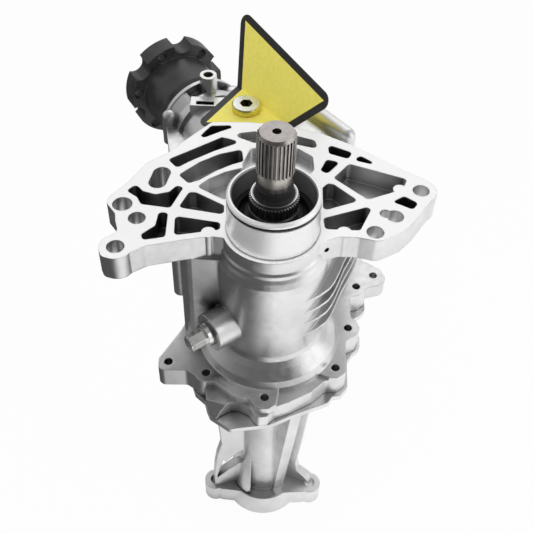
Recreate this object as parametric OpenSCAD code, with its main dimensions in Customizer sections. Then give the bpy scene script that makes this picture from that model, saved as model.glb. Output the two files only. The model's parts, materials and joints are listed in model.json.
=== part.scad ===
// Transfer case for a transverse drivetrain.
// Z is the axis of the input and link shafts, z = 0 is the mounting face,
// +Z points towards the gearbox, and the output neck runs to the back left.

/* [Mounting flange] */
// Thickness of the ribbed mounting flange
flange_t = 21; // [18:1:24]
// Metal left under the flange pockets
pocket_floor = 5; // [3:0.5:8]
// Clearance hole for an M12 mounting bolt
flange_hole_d = 13; // [12.5:0.1:14]

/* [Spigot] */
// Outer diameter of the locating spigot
spigot_d = 67.8; // [66:0.1:70]
// Height of the spigot above the mounting face
spigot_h = 33; // [28:1:38]
// Bore of the spigot, where the input seal sits
spigot_bore_d = 60.2; // [58:0.1:61]
// Section of the spigot O-ring
o_ring_section = 2.6; // [2:0.1:3]
// Shoulder under the spigot
step_d = 75; // [73:0.5:78]

/* [Case] */
// Outer diameter of the front barrel
barrel_d = 85; // [82:0.5:90]
// Wall of the barrel and the gear chamber
case_wall = 4; // [3:0.5:5]
// Depth of the joint between case and cover below the mounting face
joint_depth = 143; // [141:1:148]
// Thickness of the case's joint flange
joint_flange_t = 20; // [16:1:22]
// Outer diameter of the dish where it meets the joint flange
dish_d = 116; // [110:1:120]
// Number of cooling fins on the right of the barrel
fin_count = 4; // [3:1:5]

/* [Cover and tube] */
// Thickness of the cover's joint flange
cover_flange_t = 5; // [4.5:0.5:8]
// Thickness of the sealing gasket
gasket_t = 0.6; // [0.4:0.1:1]
// Outer diameter of the link shaft tube
tube_d = 46; // [44:0.5:50]
// Bore of the link shaft tube
tube_bore_d = 37; // [35:0.5:38]
// Depth of the end flange's upper face below the mounting face
end_depth = 350; // [330:1:370]
// Thickness of the end flange
end_flange_t = 22; // [18:1:26]
// Distance of the end flange's holes from the axis
end_hole_radius = 50; // [48:0.5:53]
// Clearance hole for an M10 end flange bolt
end_hole_d = 10.5; // [9:0.1:11.5]

/* [Fasteners] */
// Thread size of the cover bolts
bolt_d = 8; // [6:1:8]
// Diameter of the bolt heads' washer faces
bolt_head_d = 14; // [13:0.5:16]
// Length of the cover bolts under the head
bolt_len = 18; // [16:1:20]

/* [Shafts] */
// Outer diameter of the link shaft splines
spline_d = 27; // [26:0.5:28]
// Number of spline teeth
spline_teeth = 29; // [26:1:32]
// Diameter of the link shaft between its splines
link_d = 24; // [22:0.5:25]
// Height of the link shaft's end above the mounting face
link_top = 86.5; // [82:0.5:92]
// Outer diameter of the hollow input shaft
input_d = 35.6; // [35:0.1:36.5]
// Bore of the hollow input shaft
input_bore_d = 29.6; // [29:0.1:30]
// Height of the input shaft's end above the mounting face
input_top = 33.8; // [31:0.1:36]
// Diameter of the bearing seats on the input shaft
input_seat_d = 40; // [39:0.5:42]
// Diameter of the bearing seats on the transfer shaft
transfer_seat_d = 25; // [24:0.5:27]
// Diameter of the pinion shaft under its outer bearing
pinion_seat_d = 25; // [24:0.5:26]

/* [Gears] */
// Teeth on the drive gear of the input shaft
drive_teeth = 34; // [33:1:34]
// Teeth on the driven gear of the transfer shaft
driven_teeth = 46; // [46:1:47]
// Module of the drive and driven gears
spur_module = 2; // [1.98:0.01:2.02]
// Face width of the drive and driven gears
spur_face = 15; // [12:0.5:16]
// Teeth on the ring gear
ring_teeth = 31; // [30:1:31]
// Teeth on the pinion
pinion_teeth = 12; // [12:1:13]
// Pitch diameter of the ring gear at its outer end
ring_pitch_d = 96; // [92:0.5:98]
// Face width of the ring gear and the pinion
bevel_face = 16; // [12:0.5:18]
// Depth of the pinion axis below the mounting face
pinion_depth = 62; // [61:0.5:63]

/* [Output] */
// Direction of the output axis, seen from above, from +X towards +Y
output_azimuth = 121.5; // [119:0.5:124]
// Distance from the transfer shaft to the end of the neck
neck_len = 157.5; // [155:0.5:160]
// Outer diameter of the ring at the neck's end
neck_ring_d = 82.4; // [80:0.5:86]
// Distance from the transfer shaft to the output flange's mating face
output_len = 226.5; // [222:0.5:232]
// Outer diameter of the output flange
output_flange_d = 96.4; // [94:0.2:100]
// Thickness of the output flange's rim
output_rim_t = 18; // [15:0.5:20]
// Outer diameter of the output flange's barrel
output_barrel_d = 72; // [66:0.5:74]
// Pitch circle of the output flange's bolt holes
output_bolt_circle = 83; // [81:0.5:85]
// Diameter of the pilot recess in the output flange
output_pilot_d = 56; // [50:0.5:60]

/* [Fits] */
// Radial gap of running fits
running_gap = 0.05; // [0.03:0.01:0.08]

/* [Hidden] */
$fn = 72;

// Where the shafts stand
centre_dist = (drive_teeth + driven_teeth) * spur_module / 2;
output_dir = [cos(output_azimuth), sin(output_azimuth)];
output_side = [-sin(output_azimuth), cos(output_azimuth)];
output_offset = -50;
transfer_xy = output_side * output_offset + output_dir * sqrt(pow(centre_dist, 2) - pow(output_offset, 2));
transfer_azimuth = atan2(transfer_xy[1], transfer_xy[0]);

// Bevel pair
pinion_cone = atan(pinion_teeth / ring_teeth);
ring_cone = 90 - pinion_cone;
cone_dist = ring_pitch_d / 2 / sin(ring_cone);
bevel_module = ring_pitch_d / ring_teeth;
ring_pitch_z = -pinion_depth - cone_dist * cos(ring_cone);
ring_back_z = ring_pitch_z - 13;
ring_bore_d = 44;
ring_bolt_circle = 56;

// Spur pair
spur_top_z = ring_back_z - 10;
spur_bottom_z = spur_top_z - spur_face;
flange_seat_t = 7;

// Joint between case and cover
joint_z = -joint_depth;
cover_top_z = joint_z - gasket_t;
cover_bottom_z = cover_top_z - cover_flange_t;
lower_bearing_z = cover_bottom_z - 1;

// Bearings
input_bearing_od = 68;
input_bearing_w = 15;
input_upper_z = -5;
transfer_bearing_od = 47;
transfer_bearing_w = 12;
transfer_upper_z = -31;
link_bearing_od = 42;
link_bearing_w = 12;
link_bearing_z = -end_depth + 20;
pinion_inner_at = 53;
pinion_inner_od = 64;
pinion_inner_w = 19;
pinion_inner_seat_d = 32;
pinion_outer_od = 54;
pinion_outer_w = 16;

// Output neck
seal_at = neck_len - 12;
pinion_outer_at = seal_at - pinion_outer_w - 8.5;
hub_d = 42;
flange_back = output_len - output_rim_t;

// Left and right lugs of the mounting flange: place and lug radius
flange_holes = [[-111, -26], [-99.9, 4], [112.6, 45.8], [90.4, 16], [74.6, -1.7]];
slot_from = [-87.5, 55.5];
slot_to = [-89.5, 44.5];
slot_d = 14;
wide_hole = [-112.7, 18.5];
wide_hole_d = 15;
small_hole = [83.5, 18.5];

// Places of the cover bolts
cover_holes = [[-49, -43.5], [-1.5, -65], [55, -34], [66.8, 8], [76, 55.5], [58, 138], [2, 158], [-54, 120],
    [-60, 66], [-60, 16]];

// Lugs of the case beside the joint: hole, and depth of the lug below its upper face
left_lug = [-80.2, -34];
right_lug = [91.8, 69.5];
right_lug_t = 14;

// Half-round lands beside the flange pockets, and the boss round the slotted hole
lands = [[-46.5, -8], [52, -2.5], [96.5, 46.5]];
land_r = 5.4;
slot_boss = [-88.5, 50];
slot_boss_r = 13.5;

// Directions of the end flange's ears, and its holes
ear_angles = [196, 344, 90];
end_holes = [for (a = ear_angles) end_hole_radius * [cos(a), sin(a)]];

function unit(v) = v / norm(v);

// Replaces the corner q between p and s by an arc of radius r
function corner(p, q, s, r, n) =
    let(u = unit(p - q), v = unit(s - q), half = acos(max(-1, min(1, u * v))) / 2)
    half > 88 ? [q] :
    let(t = min(r / tan(half), 0.45 * min(norm(p - q), norm(s - q))),
        radius = t * tan(half),
        centre = q + unit(u + v) * (radius / sin(half)),
        a = unit(q + u * t - centre),
        b = unit(q + v * t - centre),
        w = 180 - 2 * half)
    [for (i = [0:n]) centre + radius * (a * sin((1 - i / n) * w) + b * sin(i / n * w)) / sin(w)];

function rounded(pts, r, n = 4) =
    let(last = len(pts))
    [for (i = [0:last - 1]) each corner(pts[(i + last - 1) % last], pts[i], pts[(i + 1) % last], r, n)];

module ring(outer_d, inner_d, h) {
    difference() {
        cylinder(d = outer_d, h = h);
        translate([0, 0, -1]) cylinder(d = inner_d, h = h + 2);
    }
}

// Places children on the transfer shaft
module on_transfer() translate([transfer_xy[0], transfer_xy[1], 0]) children();

// Places children on the output axis: their +Z runs towards the output flange
module on_output(at = 0)
    translate([transfer_xy[0], transfer_xy[1], -pinion_depth])
    rotate([0, 0, output_azimuth]) rotate([0, 90, 0]) translate([0, 0, at]) children();

// Ball bearing pieces, standing on z = 0
module bearing_outer(od, bore, w) {
    pitch = (od + bore) / 4;
    ball_r = (od - bore) / 8;
    rotate_extrude() difference() {
        translate([pitch + ball_r * 0.6, 0]) square([od / 2 - pitch - ball_r * 0.6, w]);
        translate([pitch, w / 2]) circle(r = ball_r + running_gap, $fn = 48);
    }
}

module bearing_inner(od, bore, w) {
    pitch = (od + bore) / 4;
    ball_r = (od - bore) / 8;
    rotate_extrude() difference() {
        translate([bore / 2, 0]) square([pitch - ball_r * 0.6 - bore / 2, w]);
        translate([pitch, w / 2]) circle(r = ball_r + running_gap, $fn = 48);
    }
}

module bearing_balls(od, bore, w, count = 10) {
    pitch = (od + bore) / 4;
    ball_r = (od - bore) / 8;
    for (i = [0:count - 1])
        rotate([0, 0, i * 360 / count]) translate([pitch, 0, w / 2]) sphere(r = ball_r, $fn = 32);
    translate([0, 0, w / 2 - w * 0.09]) ring(2 * pitch + 1.6, 2 * pitch - 1.6, w * 0.18);
}

// Tapered roller bearing pieces: the wide end of the rollers is at z = 0
roller_tilt = 13;
function roller_r(od, bore) = (od - bore) / 9;
function roller_pitch(od, bore) = (od + bore) / 4;

module roller_cup(od, bore, w) {
    rr = roller_r(od, bore) + running_gap;
    mid = roller_pitch(od, bore) + rr / cos(roller_tilt);
    slope = tan(roller_tilt) * w / 2;
    rotate_extrude() polygon([[mid + slope, 0], [od / 2, 0], [od / 2, w], [mid - slope, w]]);
}

module roller_cone(od, bore, w) {
    rr = roller_r(od, bore) + running_gap;
    mid = roller_pitch(od, bore) - rr / cos(roller_tilt);
    slope = tan(roller_tilt) * w / 2;
    rotate_extrude() polygon([[bore / 2, 0], [mid + slope, 0], [mid - slope, w], [bore / 2, w]]);
}

module rollers(od, bore, w, count = 14) {
    pitch = roller_pitch(od, bore);
    for (i = [0:count - 1])
        rotate([0, 0, i * 360 / count]) translate([pitch, 0, w / 2]) rotate([0, -roller_tilt, 0])
            cylinder(r = roller_r(od, bore), h = w * 0.8, center = true, $fn = 24);
    translate([0, 0, w / 2 - 1]) ring(2 * pitch + 1.2, 2 * pitch - 1.2, 2);
}

// Outline of a gear with straight-flanked teeth
function gear_outline(teeth, m, slack) =
    let(pitch = teeth * m / 2, root = pitch - 1.2 * m, tip = pitch + 0.9 * m,
        half = (PI * m / 2 - slack) / 2,
        root_a = (half + 1.2 * m * tan(20)) / root * 180 / PI,
        tip_a = (half - 0.9 * m * tan(20)) / tip * 180 / PI)
    [for (i = [0:teeth - 1]) let(a = i * 360 / teeth)
        each [root * [cos(a - root_a), sin(a - root_a)], tip * [cos(a - tip_a), sin(a - tip_a)],
            tip * [cos(a + tip_a), sin(a + tip_a)], root * [cos(a + root_a), sin(a + root_a)]]];

// Outline of a spline with small square teeth
function spline_outline(teeth, tip_d, depth) =
    let(step = 360 / teeth, tip = tip_d / 2, root = tip - depth)
    [for (i = [0:teeth - 1]) let(a = i * step)
        each [root * [cos(a - step * 0.3), sin(a - step * 0.3)], tip * [cos(a - step * 0.2), sin(a - step * 0.2)],
            tip * [cos(a + step * 0.2), sin(a + step * 0.2)], root * [cos(a + step * 0.3), sin(a + step * 0.3)]]];

// One bevel tooth from the apex side to the outer end, about +Z, on a pitch cone of half angle cone
bevel_addendum = 0.8 * bevel_module;
bevel_dedendum = 1.05 * bevel_module;
function bevel_point(cone, dist, height, side) =
    let(scale = dist / cone_dist, h = height * scale,
        radius = dist * sin(cone) + h * cos(cone),
        half = (bevel_module * PI * 0.21 - height * tan(20)) * scale * side)
    [sqrt(max(0, radius * radius - half * half)), half, dist * cos(cone) - h * sin(cone)];

module bevel_tooth(cone) {
    near = cone_dist - bevel_face;
    foot = -bevel_dedendum - 0.5;
    pts = [for (dist = [near, cone_dist]) for (q = [[foot, -1], [foot, 1], [bevel_addendum, 1], [bevel_addendum, -1]])
        bevel_point(cone, dist, q[0], q[1])];
    quads = [[3, 2, 1, 0], [4, 5, 6, 7], [1, 5, 4, 0], [2, 6, 5, 1], [3, 7, 6, 2], [0, 4, 7, 3]];
    polyhedron(pts, [for (q = quads) each [[q[0], q[1], q[2]], [q[0], q[2], q[3]]]]);
}

// Root body of a bevel gear, apex at the origin, axis along +Z
function root_point(cone, dist) =
    let(h = -bevel_dedendum * dist / cone_dist)
    [dist * sin(cone) + h * cos(cone), dist * cos(cone) - h * sin(cone)];

module flange_outline() {
    left = [[-125.6, 20.5], [-116.5, 8], [-115, 0], [-111.5, -11], [-122, -20], [-121, -36], [-111, -38],
        [-104.4, -34.3], [-90, -24.2], [-66, -17.3], [-44.7, -12.1], [-30, -14]];
    right = [[30, -19], [34.9, -15.1], [41.3, -10.9], [48.8, -7.7], [62.7, -7.7], [75.5, -10.9], [80.3, -9.3],
        [94.7, -0.2], [105.3, 12.6], [119.2, 35], [124.7, 45], [120.5, 56.4]];
    back = [[92.5, 75.3], [61.8, 98.7], [38, 112], [8, 121], [-22, 124], [-53.5, 122.5], [-70.2, 101.3],
        [-85.1, 80.6], [-100.4, 66.9], [-112.8, 41.9], [-122.9, 27.4]];
    polygon(rounded(concat(left, right, back), 6));
    circle(d = step_d);
    translate(flange_holes[0]) circle(r = 12);
    translate(flange_holes[2]) circle(r = 12.4);
}

// Outlines of the pockets between the ribs
pockets = [
    [[-66.3, 95.6], [-54, 117.4], [-38, 119], [-36.5, 115.5], [-44.5, 110.8]],
    [[-84.7, 72], [-44, 103], [-28, 97.5], [-49, 84.5], [-68, 70], [-76.5, 62]],
    [[-74.5, 54], [-66, 44.4], [-58, 48.5], [-46, 60], [-34, 68.5], [-25, 73], [-27, 88], [-45, 81], [-60, 70]],
    [[-59, 41], [-51, 50.5], [-39, 59.5], [-22, 67], [-17, 41], [-30, 33], [-37, 27], [-46, 32.5]],
    [[-112, 33.4], [-105.5, 41], [-99.6, 34], [-89.5, 30.5], [-79.5, 34], [-74.5, 41.5], [-69, 39.5], [-76.7, 16],
        [-99, 19], [-102.8, 26.5]],
    [[-70.8, 17], [-64.4, 34.5], [-59.1, 34.5], [-37, 21], [-36.5, 11]],
    [[-72.2, 7.6], [-38.6, 2.4], [-38.2, -5], [-71, -12.6]],
    [[-84.7, 11], [-77.7, 11], [-77, -14.5], [-93, -18.6], [-94.5, -12.5], [-85.5, -3]],
    [[36.8, 11], [75, 27.3], [63.7, -0.4], [38, -0.4]],
    [[36.9, 19], [36.9, 45], [41, 50.5], [46, 49.5], [64, 31.5]],
    [[45.6, 56.9], [58.5, 75], [103.2, 58.5], [98.5, 46.5], [71, 33.3]],
    [[89.3, 32], [99, 39], [109, 31.5], [104.5, 23.8], [96, 28.5]],
    [[35.5, 65.4], [40.8, 79.3], [51.5, 76.3], [41, 61.5]],
    [[42.1, 98.5], [61.6, 89], [58.4, 80.6], [42.9, 86.7]],
    [[62.9, 79.3], [67.5, 86], [83.5, 73]]];
shallow_pockets = [
    [[-20, 46], [-26, 69], [-20, 90], [18, 92], [30, 82], [31, 66], [18, 45]],
    [[-38, 107], [-18, 112], [8, 111], [32, 103], [34, 92], [16, 97], [-18, 97]]];

// Outline of the gear chamber behind the barrel
chamber = [[-40, -16], [-68, -15], [-70, 5], [-64, 60], [-52, 116], [-20, 146], [10, 156], [31, 158], [50, 134],
    [62, 124], [76, 92], [66, 50], [54, 22], [44, -4], [36, -18], [24, -33]];

// Outline of the case's joint flange, from the left lug round the front
case_joint = [[-69, 66], [-68, 14], [-73, -1], [-88.4, -31], [-88, -40], [-84, -42.6], [-65, -42], [-58, -46.5],
    [-51, -52.5], [-41.5, -52], [-25.5, -65.5], [-13, -66.5], [-9.5, -72.5], [-4.5, -76], [2, -75.8], [7, -71.8],
    [18.6, -66.4], [36, -56], [47.5, -44.5], [57, -44], [64, -38], [63.5, -28], [64.5, -6], [74, 0.5], [77, 8],
    [74, 16], [69.5, 20], [69.5, 42], [80, 46], [85, 57], [85, 84], [76, 100], [66, 146], [44, 150], [31, 160],
    [12, 167], [-8, 167], [-30, 152], [-62, 128]];
right_lug_outline = [[76, 50], [84.5, 53.5], [99, 58.5], [103, 66], [98.5, 77], [87.5, 84.5], [76, 90]];

// Foot of the case at the front left: its outline has the arch that uncovers the cover's edge
case_foot = [[-57, -46], [-49, -53], [-47.2, -65], [-44.3, -71.3], [-39.2, -74.7], [-36.3, -71.3], [-28, -66],
    [-22, -65.8], [-13.2, -69.8], [-9.8, -75.3], [-5.7, -78.8], [1, -77.5], [7, -72], [0, -50], [-30, -40]];
foot_depth = 8;

// Step in the case's upper face at the front right
front_ledge = [[10.5, -50], [6.3, -82], [60, -62], [49, -43.4], [41.8, -40.6], [30, -46]];
ledge_depth = 3;

// Outline of the cover's joint flange
cover_joint = [[-66, 66], [-66, 8], [-62, -38], [-57.8, -50], [-49.5, -57.4], [-47.2, -65], [-44.3, -71.5],
    [-27.8, -82.5], [-20, -80.8], [3.9, -76.7], [20, -68], [44, -57], [50.6, -53.9], [54, -48], [61, -46.6],
    [66.5, -38], [67, -12], [72.5, -3], [78.5, 3], [79, 15], [73.5, 24], [73.5, 33.4], [81, 39.5], [85.3, 46],
    [85.3, 58], [81, 66], [76, 100], [66, 146], [44, 150], [31, 160], [12, 167], [-8, 167], [-30, 152], [-62, 128]];

// Radius of the lands round the cover bolts, on the case and on the cover
case_land_r = 9;
cover_land_r = 9.4;
module bolt_lands(r) for (p = cover_holes) translate(p) circle(r = r, $fn = 48);

module case_flange_form() {
    translate([0, 0, joint_z]) linear_extrude(height = joint_flange_t) {
        polygon(rounded(case_joint, 5));
        bolt_lands(case_land_r);
    }
    translate([0, 0, joint_z]) linear_extrude(height = joint_flange_t - foot_depth) polygon(rounded(case_foot, 3));
    translate([0, 0, joint_z + joint_flange_t - right_lug_t]) linear_extrude(height = right_lug_t)
        polygon(rounded(right_lug_outline, 8));
}

module case_flange_cuts() {
    translate([0, 0, joint_z + joint_flange_t - ledge_depth]) linear_extrude(height = 4) difference() {
        polygon(front_ledge);
        circle(d = dish_d - 1);
        translate(cover_holes[2]) circle(r = case_land_r);
    }
    translate([-37.2, -66.6, joint_z + joint_flange_t - foot_depth]) rotate([0, 0, -105.7]) rotate([0, 55.3, 0])
        translate([0, -13, 0]) cube([30, 26, 20]);
}

module cover_plate(h) linear_extrude(height = h) {
    polygon(rounded(cover_joint, 4));
    bolt_lands(cover_land_r);
}

// Front barrel with its dish and shoulders, as one turned form
module barrel_form() rotate_extrude() polygon([[0, joint_z], [dish_d / 2, joint_z],
    [dish_d / 2, joint_z + joint_flange_t], [dish_d / 2 - 3, joint_z + joint_flange_t + 6],
    [barrel_d / 2 + 6, joint_z + joint_flange_t + 13], [barrel_d / 2 + 1.5, joint_z + joint_flange_t + 17],
    [barrel_d / 2, joint_z + joint_flange_t + 21], [barrel_d / 2, -24], [barrel_d / 2 - 2, -19],
    [step_d / 2 + 1.5, -16], [step_d / 2 + 1.5, -13], [step_d / 2, -11], [step_d / 2, 0],
    [0, 0]]);

// Fins that leave the barrel on the right and run back along the chamber
fin_t = 2.2;
fin_pitch = 13.4;
fin_outline = [[22, -34], [25.8, -34.1], [37, -26.7], [44.6, -19.3], [48.6, -12], [52.7, -1.5], [57.1, 11.4],
    [65.6, 30.5], [72, 48], [76, 72], [60, 72], [40, 0]];
module cooling_fins() for (i = [0:fin_count - 1])
    translate([0, 0, -45 - i * fin_pitch]) linear_extrude(height = fin_t) polygon(rounded(fin_outline, 12, 3));

// Short rib under the flange on the left wall
module left_rib() translate([-71, 4, -78]) cylinder(r = 6, h = 78 - flange_t);

// Small drilling in the flange's edge beside the barrel
module breather() translate([42, -15.4, -10]) rotate([0, 0, -57]) rotate([0, 90, 0]) translate([0, 0, -10])
    cylinder(d = 4.2, h = 14, $fn = 24);

// Neck: body, shoulder, groove and end rim, as one turned form
rim_t = 5;
groove_w = 11;
shoulder_w = 10;
groove_at = neck_len - rim_t - groove_w;
module neck_form() on_output() rotate_extrude() polygon([[0, 30], [40, 30], [40, 70], [38.5, 90],
    [36.5, 112], [35, groove_at - shoulder_w], [38.2, groove_at - shoulder_w], [37.6, groove_at], [33, groove_at],
    [33, neck_len - rim_t], [neck_ring_d / 2, neck_len - rim_t], [neck_ring_d / 2, neck_len - 1],
    [neck_ring_d / 2 - 1, neck_len], [0, neck_len]]);

// Radial ribs across the groove behind the rim
module neck_ribs() on_output() for (a = [8:36:332]) rotate([0, 0, a])
    translate([30, 2, 0]) rotate([90, 0, 0]) linear_extrude(height = 4) polygon([[0, groove_at - 1],
        [6.6, groove_at - 1], [10, neck_len - rim_t + 1], [0, neck_len - rim_t + 1]]);

// Filling of the groove on the neck's left side, up to the first rib
fill_from = 62;
fill_to = 151;
module neck_fill() on_output() intersection() {
    rotate_extrude() polygon([[30, groove_at - 4], [36.9, groove_at - 4], [40.6, neck_len - rim_t + 1],
        [30, neck_len - rim_t + 1]]);
    translate([0, 0, groove_at - 6]) linear_extrude(height = groove_w + rim_t + 4)
        polygon([[0, 0], for (a = [fill_from : (fill_to - fill_from) / 3 : fill_to + 1]) 60 * [cos(a), sin(a)]]);
}

// Webs and lug on the left of the neck: x runs along the output axis and y to its left
module on_neck() translate([transfer_xy[0], transfer_xy[1], 0]) rotate([0, 0, output_azimuth]) children();
neck_web = [[60, 20], [60, 64], [100, 59], [126, 49.5], [neck_len - 7, 39.5], [neck_len - 7, 20]];
module neck_sides() on_neck() {
    translate([0, 0, -86]) linear_extrude(height = 36) polygon(neck_web);
    translate([neck_len - 11, 37.4, -43]) sphere(r = 7);
    translate([neck_len - 11, 37.4, -70]) cylinder(r = 6.9, h = 27);
    translate([neck_len - 13, -28, -44]) sphere(r = 13);
}

module main_case() color("silver") difference() {
    union() {
        translate([0, 0, -flange_t]) linear_extrude(height = flange_t) flange_outline();
        barrel_form();
        translate([0, 0, joint_z]) linear_extrude(height = joint_depth - flange_t)
            polygon(rounded(chamber, 10));
        case_flange_form();
        left_rib();
        cooling_fins();
        neck_form();
        neck_ribs();
        neck_fill();
        neck_block();
        neck_sides();
        filler_boss();
        post();
        drain_boss();
        back_ridge();
        for (p = lands) translate([p[0], p[1], -flange_t]) cylinder(r = land_r, h = flange_t);
        translate([slot_boss[0], slot_boss[1], -flange_t]) cylinder(r = slot_boss_r, h = flange_t);
    }
    flange_cuts();
    translate([0, 0, input_upper_z]) cylinder(d = spigot_bore_d + 2 * spigot_press_wall, h = 60);
    translate([0, 0, -spigot_relief]) cylinder(d = spigot_d + 2 * spigot_relief, h = 60);
    translate([0, 0, joint_z - 1]) cylinder(d = input_bearing_od, h = joint_depth + 1 + input_upper_z);
    translate([0, 0, joint_z - 1]) cylinder(d = barrel_d - 2 * case_wall, h = joint_depth - 23);
    on_transfer() translate([0, 0, joint_z - 1]) cylinder(r = ring_pitch_d / 2 + 5, h = joint_depth - flange_t - 22);
    on_transfer() translate([0, 0, joint_z - 1]) cylinder(d = transfer_bearing_od, h = joint_depth + 1 + transfer_upper_z);
    neck_bores();
    neck_slot();
    case_flange_cuts();
    for (p = concat(cover_holes, [left_lug, right_lug])) translate([p[0], p[1], joint_z - 1])
        cylinder(d = bolt_d - 1, h = joint_flange_t + 2, $fn = 36);
    breather();
    for (p = dowel_places) translate([p[0], p[1], joint_z - 1]) cylinder(d = dowel_d, h = 11, $fn = 36);
    filler_hole();
    post_hole();
    drain_hole();
}

module flange_cuts() {
    floor_z = -flange_t + pocket_floor;
    for (p = pockets) translate([0, 0, floor_z]) linear_extrude(height = flange_t) difference() {
        polygon(rounded(p, 3));
        for (q = lands) translate(q) circle(r = land_r, $fn = 36);
        translate(slot_boss) circle(r = slot_boss_r, $fn = 48);
    }
    for (p = shallow_pockets) translate([0, 0, -9]) linear_extrude(height = 20) polygon(rounded(p, 4));
    for (p = flange_holes) translate([p[0], p[1], -flange_t - 1]) cylinder(d = flange_hole_d, h = flange_t + 2);
    translate([wide_hole[0], wide_hole[1], -flange_t - 1]) cylinder(d = wide_hole_d, h = flange_t + 2);
    translate([small_hole[0], small_hole[1], -flange_t - 1]) cylinder(d = 9, h = flange_t + 2, $fn = 36);
    for (p = [slot_from, slot_to]) translate([p[0], p[1], -flange_t - 1]) cylinder(d = slot_d, h = flange_t + 2, $fn = 48);
    translate([slot_boss[0], slot_boss[1], -flange_t / 2]) rotate([0, 0, atan2(slot_from[1] - slot_to[1], slot_from[0] - slot_to[0])])
        cube([norm(slot_from - slot_to), slot_d - 0.3, flange_t + 2], center = true);
}

// Locating spigot: a turned sleeve, pressed into the case down to the upper bearing
o_ring_z = 28.2;
spigot_press_wall = 2;
spigot_relief = 0.8;
module spigot() color("silver") rotate_extrude() difference() {
    polygon([[spigot_bore_d / 2, input_upper_z], [spigot_bore_d / 2 + spigot_press_wall, input_upper_z],
        [spigot_bore_d / 2 + spigot_press_wall, -spigot_relief], [spigot_d / 2, -spigot_relief],
        [spigot_d / 2, spigot_h - 1.5],
        [spigot_d / 2 - 1.5, spigot_h], [spigot_bore_d / 2 + 1, spigot_h], [spigot_bore_d / 2, spigot_h - 1]]);
    translate([spigot_d / 2 - o_ring_section - 2 * running_gap, o_ring_z - o_ring_section * 0.6])
        square([o_ring_section + 2, o_ring_section * 1.2]);
}

module spigot_o_ring() color("black") translate([0, 0, o_ring_z]) rotate_extrude()
    translate([spigot_d / 2 - o_ring_section / 2 - running_gap, 0]) circle(d = o_ring_section, $fn = 24);

// Block on the neck's top in front of the post, with a slot across it
slot_block = [-78.4, 178.5, -50];
slot_block_top = -24.5;
module neck_block() translate(slot_block) cube([32, 14, slot_block_top - slot_block[2]]);
module neck_slot() translate([slot_block[0] + 5.4, slot_block[1] + 2, slot_block_top - 7]) cube([16, 5, 20]);

module neck_bores() on_output() {
    translate([0, 0, 20]) cylinder(d = pinion_inner_od, h = pinion_inner_at + pinion_inner_w - 20);
    translate([0, 0, 60]) cylinder(d = pinion_outer_od - 8, h = neck_len - 60);
    translate([0, 0, pinion_outer_at]) cylinder(d = pinion_outer_od, h = neck_len);
    translate([0, 0, seal_at]) cylinder(d = pinion_outer_od + 4, h = neck_len);
}

filler_xy = [-27, 166.5];
filler_top = -19;
module filler_boss() translate([filler_xy[0], filler_xy[1], filler_top - 30]) cylinder(d1 = 44, d2 = 36, h = 30);
module filler_hole() translate([filler_xy[0], filler_xy[1], filler_top - 18]) cylinder(d = 18, h = 20);

post_xy = transfer_xy + output_dir * (neck_len - 9.4) - output_side * 4.4;
post_top = -11;
module post() translate([post_xy[0], post_xy[1], -pinion_depth + 20])
    cylinder(d1 = 18, d2 = 15.4, h = pinion_depth - 20 + post_top);
module post_hole() translate([post_xy[0], post_xy[1], post_top - 20]) cylinder(d = 9, h = 21, $fn = 36);

// Level plug boss on the front left of the barrel
drain_z = -80;
drain_azimuth = 218.8;
module at_drain() translate([0, 0, drain_z]) rotate([0, 0, drain_azimuth]) rotate([0, 90, 0]) children();
drain_reach = 59;
module drain_boss() at_drain() translate([0, 0, 30]) cylinder(d = 31, h = drain_reach - 30);
module drain_hole() at_drain() translate([0, 0, 40]) cylinder(d = 14, h = 30);

// Rounded ridge behind the flange, on the right: x runs along it, y towards the back right
ridge_r = 8;
ridge_at = 132.7;
ridge_z = -18.5;
ridge_from = -125;
ridge_to = -64;
module back_ridge() rotate([0, 0, -50]) {
    translate([ridge_from, ridge_at, ridge_z]) rotate([0, 90, 0]) cylinder(r = ridge_r, h = ridge_to - ridge_from);
    translate([ridge_to, ridge_at, ridge_z]) sphere(r = ridge_r);
    translate([ridge_to, ridge_at, -60]) cylinder(r = ridge_r, h = 60 + ridge_z);
    translate([ridge_from, 100, -60]) cube([ridge_to - ridge_from, ridge_at + ridge_r - 100, 60 + ridge_z - 2]);
}

dowel_d = 8;
dowel_places = [[-56, -18], [68, 108]];

module input_seal() color("#202020") translate([0, 0, 6]) difference() {
    cylinder(d = spigot_bore_d, h = 9);
    translate([0, 0, -1]) cylinder(d = input_d + 2 * running_gap, h = 12);
    translate([0, 0, 2.5]) ring(spigot_bore_d - 8, input_d + 6, 10);
}

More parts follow.
